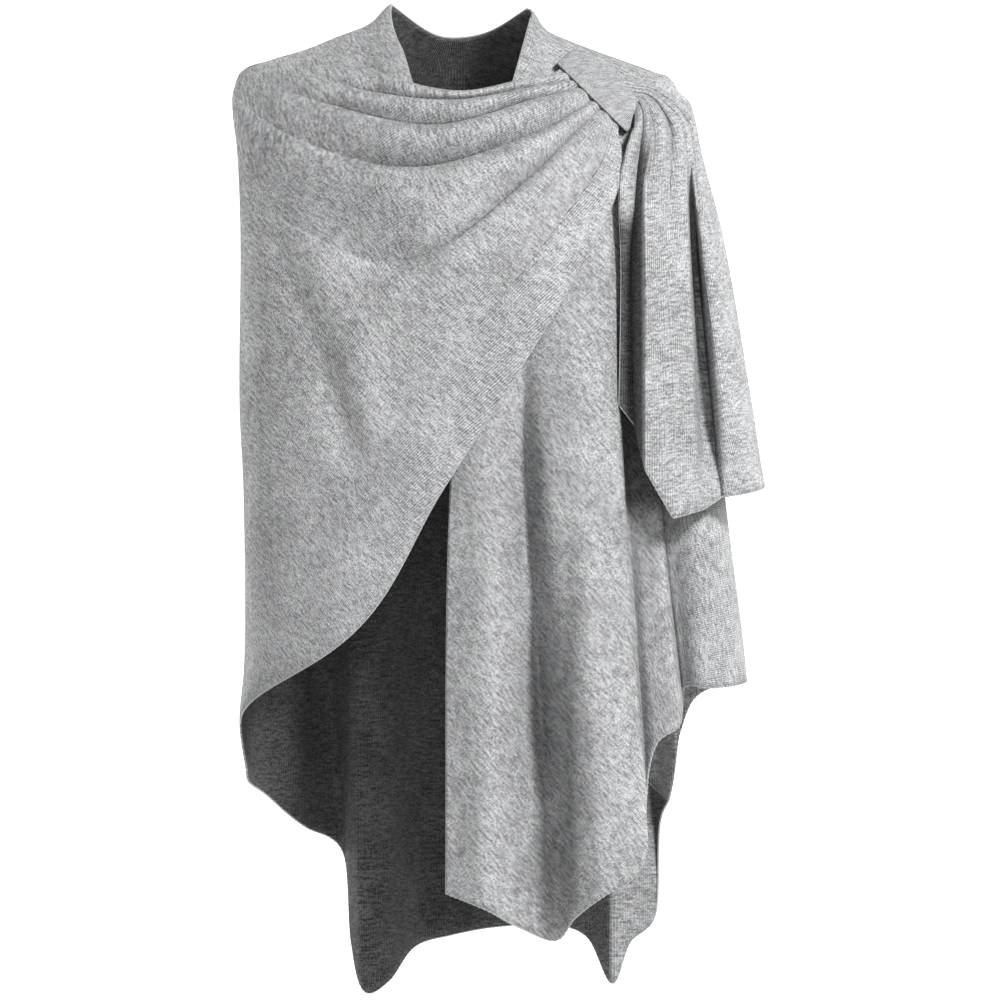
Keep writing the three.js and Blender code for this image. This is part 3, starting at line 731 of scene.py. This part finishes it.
def knit_material(name, face, reverse, side):
    """Fine rib knit of heather yarn: two greys spun together, in wales with shaded grooves.

    Each of face and reverse gives the light grey, the dark grey and the depth of the grooves' shade.
    """
    g = Graph(name)
    uv = g.add("ShaderNodeUVMap", uv_map="knit").outputs[0]
    split = g.add("ShaderNodeSeparateXYZ")
    g.feed(split.inputs[0], uv)
    across, along = split.outputs[0], split.outputs[1]
    packing = g.add("ShaderNodeAttribute", attribute_name="packing").outputs["Fac"]
    # The turned share brings in the other face's greys: at folds turned over, and as painted shade in
    # recesses of the fronts.
    turned = g.add("ShaderNodeAttribute", attribute_name="turned").outputs["Fac"]
    other = g.math("SUBTRACT", 1.0, turned) if side == "reverse" else turned
    whole = g.math("FLOOR", packing)
    part = g.math("FRACT", packing)
    turns = 2 * math.pi
    fine = g.math("DIVIDE", across, g.math("POWER", 2.0, whole))
    fine_wave = g.math("COSINE", g.math("MULTIPLY", fine, turns))
    coarse_wave = g.math("COSINE", g.math("MULTIPLY", fine, turns / 2))
    wale = g.math("MULTIPLY_ADD", g.mix(part, fine_wave, coarse_wave), 0.5, 0.5)
    lean = g.math("MULTIPLY", g.math("PINGPONG", fine, 0.5), STITCH_LEAN)
    stitch = g.math("SINE", g.math("MULTIPLY", g.math("ADD", g.math("DIVIDE", along, STITCH), lean), turns))

    place = g.add("ShaderNodeTexCoord").outputs["Object"]
    flecks = {}
    spun = g.math("MULTIPLY_ADD", g.noise(place, TONE["scale"], 1.0), TONE["swing"], TONE["base"])
    for kind, fleck in FLECKS.items():
        spot = g.point(g.math("MULTIPLY", across, fleck["across"]), g.math("DIVIDE", along, fleck["along"]),
                       fleck["layer"])
        flecks[kind] = g.noise(spot, 1.0, fleck["detail"])
        swing = g.math("MULTIPLY_ADD", flecks[kind], fleck["swing"], -fleck["swing"] / 2)
        spun = g.math("ADD", spun, swing)
    clear = g.add("ShaderNodeMapRange")
    g.feed(clear.inputs["Value"], g.noise(place, CLEARNESS["scale"], 1.0))
    for socket in ("From Min", "From Max", "To Min"):
        g.feed(clear.inputs[socket], CLEARNESS[socket])

    light = g.colour(other, grey(face["light"]), grey(reverse["light"]))
    dark = g.colour(other, grey(face["dark"]), grey(reverse["dark"]))
    depth = g.math("MULTIPLY", g.mix(other, face["groove"], reverse["groove"]), clear.outputs[0])
    groove = g.math("MULTIPLY", g.math("SUBTRACT", 1.0, wale), depth)
    stitch_shade = g.math("MULTIPLY_ADD", stitch, STITCH_SHADE, STITCH_SHADE)
    groove = g.math("SUBTRACT", 1.0, g.math("ADD", groove, stitch_shade))
    shaded = g.add("ShaderNodeMix", data_type="RGBA", blend_type="MULTIPLY")
    shaded.inputs[0].default_value = 1.0
    g.feed(shaded.inputs[6], g.colour(spun, dark, light))
    g.feed(shaded.inputs[7], g.point(groove, groove, groove))
    g.feed(g.shader.inputs["Base Color"], shaded.outputs[2])
    for socket, value in YARN_FINISH.items():
        g.shader.inputs[socket].default_value = value

    height = g.math("ADD", wale, g.math("MULTIPLY", stitch, KNIT_RELIEF["stitch"]))
    height = g.math("ADD", height, g.math("MULTIPLY", flecks["grain"], KNIT_RELIEF["grain"]))
    g.raise_surface(height, KNIT_RELIEF["strength"], KNIT_RELIEF["depth"])
    return g.material


# Overlock thread: its fuzz, the shade of its dark side, its finish and its relief.
THREAD = {"scale": 900.0, "detail": 2.0, "shade": 0.75, "roughness": 0.95, "sheen": 0.12,
          "strength": 0.5, "depth": 0.0004}


def edge_material(name, light):
    """Overlock thread: a pale yarn wound closely over the edge."""
    g = Graph(name)
    place = g.add("ShaderNodeTexCoord").outputs["Object"]
    fuzz = g.noise(place, THREAD["scale"], THREAD["detail"])
    g.feed(g.shader.inputs["Base Color"], g.colour(fuzz, grey(light * THREAD["shade"]), grey(light)))
    g.shader.inputs["Roughness"].default_value = THREAD["roughness"]
    g.shader.inputs["Sheen Weight"].default_value = THREAD["sheen"]
    g.raise_surface(fuzz, THREAD["strength"], THREAD["depth"])
    return g.material


# Soft creases of each panel, with the places seen from the front: a trough has a negative height.
# For a crease that runs down, width and power hold on its right and the other two on its left.
WRAP_CREASES = [
    {"start": (-204, -66), "end": (-92, -372), "width": 11, "height": -8, "bow": 8},
    {"start": (-190, -60), "end": (-80, -330), "width": 18, "height": 6, "bow": 8},
    {"start": (-196, -20), "end": (-190, -560), "width": 16, "height": 3},
    {"start": (-60, -230), "end": (60, -150), "width": 14, "height": -4},
    {"start": (-150, -460), "end": (-20, -330), "width": 24, "height": 4},
    {"start": (-112, 58), "end": (-70, 8), "width": 6, "height": -4},
    {"start": (-108, 70), "end": (-96, 36), "width": 7, "height": 3},
]

TAIL_CREASES = [
    {"start": (219, -70), "end": (240, -360), "width": 3, "growth": 2.6, "height": -38, "power": 8,
     "other_power": 6},
]

LEFT_FRONT_CREASES = [
    {"start": (163, -90), "end": (165, -330), "width": 14, "height": -24},
    {"start": (222, -130), "end": (238, -320), "width": 20, "height": -34},
    {"start": (44, -440), "end": (46, -740), "width": 3, "height": -2.2},
    {"start": (57, -270), "end": (80, -640), "width": 8, "other_width": 15, "height": -32},
    {"start": (84, -520), "end": (92, -880), "width": 21, "other_width": 28, "height": -36,
     "power": 8, "other_power": 3},
    {"start": (34, -360), "end": (26, -820), "width": 15, "height": 9},
    {"start": (118, -420), "end": (136, -760), "width": 14, "height": 8},
    {"start": (150, -330), "end": (150, -560), "width": 8, "height": 3},
]

BACK_CREASES = [
    {"start": (-108, -440), "end": (-92, -880), "width": 30, "other_width": 7, "height": -30},
    {"start": (-152, -440), "end": (-140, -760), "width": 16, "height": 26},
    {"start": (-28, -400), "end": (-30, -840), "width": 14, "height": 12},
    {"start": (-40, 40), "end": (-120, -500), "width": 22, "height": 6},
    {"start": (60, 30), "end": (110, -480), "width": 24, "height": 6},
    {"start": (-150, 0), "end": (-60, -120), "width": 16, "height": -4},
    {"start": (150, -10), "end": (60, -130), "width": 16, "height": -4},
]

# Greys of the knit: its face, its darker reverse, and the plainer band of the loop. The reverse's greys are
# partly its own darker grey and partly painted shade of the garment's inside.
FACE_GREYS = {"light": 0.62, "dark": 0.23, "groove": 0.42}
REVERSE_AND_SHADE_GREYS = {"light": 0.20, "dark": 0.05, "groove": 0.5}
LOOP_GREYS = {"light": 0.50, "dark": 0.26, "groove": 0.2}

FACE = knit_material("rib_knit_face", FACE_GREYS, REVERSE_AND_SHADE_GREYS, "face")
OUTSIDE = knit_material("rib_knit_outside", FACE_GREYS, FACE_GREYS, "face")
REVERSE = knit_material("rib_knit_reverse", FACE_GREYS, REVERSE_AND_SHADE_GREYS, "reverse")
BAND = knit_material("loop_knit_face", LOOP_GREYS, LOOP_GREYS, "face")
EDGE = edge_material("overlock_yarn", 0.42)

# Back: its wales hang down, and lean out to the shoulders above the shoulder line.
BACK_STEPS = (300, 150)
back_points = hanging_grid(BACK_LINES, "back", back_top, *BACK_STEPS, BACK_CREASES)[0]
back_seam = np.zeros(back_points.shape[:2], dtype=bool)
back_seam[0] = back_seam[-1] = True
back_seam[:, 0] = np.abs(back_points[:, 0, 0]) > NECK_HALF_WIDTH
back_x, back_z = back_points[..., 0], back_points[..., 2]
BACK_WALES = {"lean": 60, "rise": (10, 66)}
back_lean = BACK_WALES["lean"] * smooth_step(*BACK_WALES["rise"], back_z)
back_lean = back_lean * np.clip(back_x / NECK_HALF_WIDTH, -1, 1)
# The corner at the wearer's left is turned over to the front, above this line.
CORNER = {"x": 174, "z": -643, "slope": -0.92, "soft": 2.5, "top": (-470, -440)}
corner_line = CORNER["z"] + CORNER["slope"] * (back_x - CORNER["x"])
back_turned = smooth_step(-CORNER["soft"], CORNER["soft"], back_x - CORNER["x"])
back_turned = back_turned * smooth_step(-CORNER["soft"], CORNER["soft"], back_z - corner_line)
back_turned = back_turned * (1 - smooth_step(*CORNER["top"], back_z))
# The step beside it also turns its outside to the front, down to the hem.
STEP = {"from": 145.5, "to": 181, "top": -650, "slope": 0.11, "soft": 1.5, "share": 0.8}
step_limit = STEP["to"] + STEP["slope"] * (STEP["top"] - back_z)
step_turned = smooth_step(-STEP["soft"], STEP["soft"], back_x - STEP["from"])
step_turned = step_turned * smooth_step(-STEP["soft"], STEP["soft"], step_limit - back_x)
step_turned = step_turned * smooth_step(-STEP["soft"], STEP["soft"], STEP["top"] - back_z)
back_turned = np.maximum(back_turned, STEP["share"] * step_turned)
# The back's inside is made lighter along the neck, by this share of the way to the face's greys, coming in
# between these heights.
NECK_BAND = {"share": 0.34, "rise": (0, 40)}
neck_band = NECK_BAND["share"] * smooth_step(*NECK_BAND["rise"], back_z)
back_turned = np.maximum(back_turned, neck_band)
back_piece = shell("back_cloth", back_points, knit_field(back_points, headings(90 - back_lean)),
                   [OUTSIDE, REVERSE], seam=back_seam, turned=back_turned)

# Left front: the wales run up to the wearer's left. Above the second fold, the cloth behind the turned edge
# is given the dark reverse greys as painted shade for its recess under the tail.
LEFT_STEPS = (260, 170)
LEFT_WALES = {"angle": 40, "arm": -32, "arm_across": (185, 225), "shoulder": 25, "rise": (-60, 10)}
# Painted shade: places across and heights between which the recess under the tail takes the reverse greys.
LEFT_PAINTED_SHADE = {"begins": (7.4, 7.9), "ends": (11.0, 11.6), "low": (-404, -376), "high": (-300, -250)}
left_points, left_place = hanging_grid(LEFT_FRONT_LINES, "front", ridge_height, *LEFT_STEPS,
                                       LEFT_FRONT_CREASES, forward=ARM_FORWARD)
left_seam = np.zeros(left_points.shape[:2], dtype=bool)
left_seam[-1] = True
left_seam[:, 0] = True
left_x, left_z = left_points[..., 0], left_points[..., 2]
left_angle = LEFT_WALES["angle"] + LEFT_WALES["arm"] * smooth_step(*LEFT_WALES["arm_across"], left_x)
left_angle = left_angle + LEFT_WALES["shoulder"] * smooth_step(*LEFT_WALES["rise"], left_z)
# Painted shade of the recess behind the turned edge, under the tail.
left_painted_shade = smooth_step(*LEFT_PAINTED_SHADE["begins"], left_place)
left_painted_shade = (left_painted_shade * (1 - smooth_step(*LEFT_PAINTED_SHADE["ends"], left_place)))[:, None]
left_painted_shade = left_painted_shade * smooth_step(*LEFT_PAINTED_SHADE["low"], left_z)
left_painted_shade = left_painted_shade * (1 - smooth_step(*LEFT_PAINTED_SHADE["high"], left_z))
left_flat = hanging_grid(LEFT_FRONT_LINES, "front", ridge_height, *LEFT_STEPS, [], relief=0.0)[0]
left_piece = shell("left_front_cloth", left_points, knit_field(left_flat, headings(left_angle)),
                   [FACE, REVERSE], seam=left_seam, outward=-1.0, turned=left_painted_shade)

# Right front: the wales cross the wide fall, follow the folds near the loop and run down the tail. The strip
# of the tail behind its front fold is turned back into a deep recess, and is given the dark reverse greys
# there as painted shade.
wrap_points = wrap_grid(WRAP_CREASES, TAIL_CREASES)
wrap_seam = np.zeros(wrap_points.shape[:2], dtype=bool)
wrap_seam[0] = True
wrap_along = stepped(STRETCH_STEPS)[:, None]
wrap_across = stepped(CREST_STEPS, CREST_GATHER)
wrap_x, wrap_z = wrap_points[..., 0], wrap_points[..., 2]
WRAP_WALES = {"angle": 48, "shoulder": -40, "rise": (-110, -20), "across": (-190, -110),
              "follow": (0.9, 2.6)}
# Painted shade: places across and along between which the recess strips of the tail take the reverse greys.
WRAP_PAINTED_SHADE = {"across": (5.05, 5.35), "along": (7.6, 8.6), "edge": 6, "edge_along": (9.2, 9.6)}
wrap_shoulder = smooth_step(*WRAP_WALES["rise"], wrap_z) * (1 - smooth_step(*WRAP_WALES["across"], wrap_x))
wrap_angle = WRAP_WALES["angle"] + WRAP_WALES["shoulder"] * wrap_shoulder
wrap_run = np.gradient(wrap_points, axis=0)
wrap_run /= np.linalg.norm(wrap_run, axis=-1, keepdims=True)
wrap_follow = smooth_step(*WRAP_WALES["follow"], wrap_along)[..., None]
wrap_heading = wrap_run * wrap_follow + headings(wrap_angle) * (1 - wrap_follow)
# Painted shade of the tail's recess strips, coming in down the tail.
wrap_painted_shade = smooth_step(*WRAP_PAINTED_SHADE["across"], wrap_across)
wrap_painted_shade = wrap_painted_shade * smooth_step(*WRAP_PAINTED_SHADE["along"], wrap_along)
wrap_painted_shade = np.where(wrap_across > WRAP_PAINTED_SHADE["edge"],
                       smooth_step(*WRAP_PAINTED_SHADE["edge_along"], wrap_along), wrap_painted_shade)
wrap_piece = shell("right_front_cloth", wrap_points, knit_field(wrap_points, wrap_heading), [FACE, REVERSE],
                   seam=wrap_seam, outward=-1.0, turned=wrap_painted_shade)

# Loop: the wales run along the band, and the ring's last row is its first.
loop_points = loop_grid()
loop_run = arc_lengths(np.concatenate([loop_points, loop_points[:1]]), 0)[:-1]
loop_knit = np.stack([arc_lengths(loop_points, 1) / WALE, loop_run], axis=-1)
loop_piece = shell("shoulder_loop_band", loop_points, (loop_knit, np.zeros(loop_points.shape[:2])),
                   [BAND, BAND], closed=True)


TRACE_STEPS = 40
TRACE_PASSES = 4
TRACE_CLEAR = 0.4


def lying_on(points, trace):
    """Line that lies on a grid's front, through places given by x and z."""
    trace = np.array(trace, float)
    places = np.linspace(0, len(trace) - 1, TRACE_STEPS)
    line = through(trace, places)
    flat = points.reshape(-1, 3)
    found = []
    for x, z in line:
        nearest = np.argmin((flat[:, 0] - x) ** 2 + (flat[:, 2] - z) ** 2)
        found.append([x, flat[nearest, 1] - WALL / 2 - TRACE_CLEAR, z])
    found = np.array(found)
    for _ in range(TRACE_PASSES):
        found[1:-1, 1] = (found[:-2, 1] + 2 * found[1:-1, 1] + found[2:, 1]) / 4
    return found


# Free edges that lie on the cloth, by their places (x, z).
ARM_EDGE = [(257, -446), (261, -474), (262.5, -520), (260, -537), (250, -545), (232, -550), (212, -554)]
CORNER_EDGE = [(174, -643), (188, -657), (202, -669)]
CORNER_BAND = [(173, -626), (188, -617), (200, -611), (208, -599)]

neck_line = back_points[np.abs(back_points[:, 0, 0]) < NECK_HALF_WIDTH, 0]

edges = {
    back_piece: [
        rolled_edge("back_hem", back_points[:, -1], 1.0, EDGE, scallop=0.2),
        rolled_edge("back_neck_edge", neck_line, 1.1, EDGE),
        rolled_edge("corner_edge", lying_on(back_points, CORNER_EDGE), 0.8, EDGE, scallop=0.3),
        rolled_edge("corner_band", lying_on(back_points, CORNER_BAND), 0.7, EDGE),
    ],
    left_piece: [
        rolled_edge("left_front_hem", left_points[:, -1], 1.0, EDGE, scallop=0.3),
        rolled_edge("left_front_edge", left_points[0, 2:], 0.9, EDGE),
        rolled_edge("arm_edge", lying_on(left_points, ARM_EDGE), 0.9, EDGE),
    ],
    wrap_piece: [
        rolled_edge("wrap_hem", wrap_points[:, -1], 0.9, EDGE, scallop=0.1),
        rolled_edge("wrap_neck_edge", wrap_points[:, 0], 0.9, EDGE),
        rolled_edge("tail_hem", wrap_points[-1], 1.0, EDGE, scallop=0.2),
    ],
    loop_piece: [],
}

# What each cloth stands for, its flat size and area in metres, and what it rests on.
SHEETS = [
    {"piece": back_piece, "node": "back", "slot": "back_knit",
     "flat": (0.66, 0.95), "area": 0.5, "rests_on": []},
    {"piece": left_piece, "node": "left_front", "slot": "left_front_knit",
     "flat": (0.44, 0.88), "area": 0.29, "rests_on": []},
    {"piece": wrap_piece, "node": "right_front", "slot": "right_front_knit",
     "flat": (0.60, 0.95), "area": 0.29, "rests_on": ["left_front"]},
    {"piece": loop_piece, "node": "shoulder_loop", "slot": "loop_knit",
     "flat": (0.036, 0.22), "area": None, "rests_on": ["left_front"]},
]

for sheet in SHEETS:
    piece = sheet["piece"]
    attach(piece, "root")
    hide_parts(sheet["node"])
    for edge in edges[piece]:
        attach(edge, "root")


# Soft lights, all aimed at the middle of the garment: their place and size in metres, and power.
LIGHT_TARGET = (0.0, 0.0, -0.4)
LIGHTS = {
    "key": {"place": (1.75, -2.35, 1.75), "size": (0.7, 0.7), "power": 170},
    "front": {"place": (0.3, -4.4, 0.6), "size": (1.2, 1.2), "power": 24},
    "fill": {"place": (-2.6, -1.3, 0.6), "size": (0.9, 1.4), "power": 24},
    "back_left": {"place": (-2.6, 2.2, 0.8), "size": (1.2, 1.2), "power": 105},
    "back_right": {"place": (2.6, 2.2, 0.8), "size": (1.2, 1.2), "power": 105},
}


def area_light(name, place, size, power):
    data = bpy.data.lights.new(name, "AREA")
    data.shape = "RECTANGLE"
    data.size = size[0]
    data.size_y = size[1]
    data.energy = power
    light = bpy.data.objects.new(name, data)
    light.location = place
    light.rotation_mode = "QUATERNION"
    light.rotation_quaternion = (Vector(LIGHT_TARGET) - Vector(place)).to_track_quat("-Z", "Y")
    bpy.context.scene.collection.objects.link(light)


for light_name, light_values in LIGHTS.items():
    area_light(light_name, **light_values)

# Studio: a plain pale floor, and a white screen far behind that only the front view meets.
CORNERS = [(-1, -1), (1, -1), (1, 1), (-1, 1)]
FLOOR_HALF_WIDTH = 4.0
FLOOR_HEIGHT = -1.05
SCREEN = {"half_width": 1.6, "y": 19.0, "middle": -0.4, "half_height": 1.5, "strength": 1.3}


def studio_panel(name, corners, material):
    mesh = bpy.data.meshes.new(name)
    mesh.from_pydata(corners, [], [(0, 1, 2, 3)])
    mesh.materials.append(material)
    panel = bpy.data.objects.new(name, mesh)
    bpy.context.scene.collection.objects.link(panel)


def studio_paper():
    g = Graph("studio_paper")
    place = g.add("ShaderNodeTexCoord").outputs["Object"]
    pale, paler = (0.9, 0.9, 0.9, 1), (0.92, 0.92, 0.92, 1)
    g.feed(g.shader.inputs["Base Color"], g.colour(g.noise(place, 30.0), pale, paler))
    g.shader.inputs["Roughness"].default_value = 0.9
    return g.material


def studio_screen():
    g = Graph("studio_screen")
    g.shader.inputs["Base Color"].default_value = (0.9, 0.9, 0.9, 1)
    g.shader.inputs["Emission Color"].default_value = (1.0, 1.0, 1.0, 1)
    g.shader.inputs["Emission Strength"].default_value = SCREEN["strength"]
    return g.material


floor_corners = [(side * FLOOR_HALF_WIDTH, depth * FLOOR_HALF_WIDTH, FLOOR_HEIGHT) for side, depth in CORNERS]
screen_corners = [(side * SCREEN["half_width"], SCREEN["y"], SCREEN["middle"] + level * SCREEN["half_height"])
                  for side, level in CORNERS]
studio_panel("studio_floor", floor_corners, studio_paper())
studio_panel("studio_screen", screen_corners, studio_screen())

WORLD_STRENGTH = 0.09
VIEW_GAMMA = 0.86

world = bpy.data.worlds.new("studio")
world.use_nodes = True
world.node_tree.nodes["Background"].inputs["Color"].default_value = (1.0, 1.0, 1.0, 1.0)
world.node_tree.nodes["Background"].inputs["Strength"].default_value = WORLD_STRENGTH
bpy.context.scene.world = world
bpy.context.scene.view_settings.view_transform = "Standard"
bpy.context.scene.view_settings.gamma = VIEW_GAMMA

# Camera: straight on, with a long lens, framed as the photograph is: 950 mm over its 1000 pixels.
FRAME_MM = 950
CAMERA_DISTANCE = 14.0
FRONT_PLANE = -0.08
CAMERA_PLACE = (0.039, -0.380)
CAMERA_REACH = 100.0
SENSOR = 36.0
camera_data = bpy.data.cameras.new("camera")
camera_data.sensor_width = SENSOR
camera_data.lens = SENSOR * (CAMERA_DISTANCE + FRONT_PLANE) / (FRAME_MM * MM)
camera_data.clip_end = CAMERA_REACH
camera = bpy.data.objects.new("camera", camera_data)
camera.location = (CAMERA_PLACE[0], -CAMERA_DISTANCE, CAMERA_PLACE[1])
camera.rotation_euler = (math.pi / 2, 0.0, 0.0)
bpy.context.scene.collection.objects.link(camera)
bpy.context.scene.camera = camera
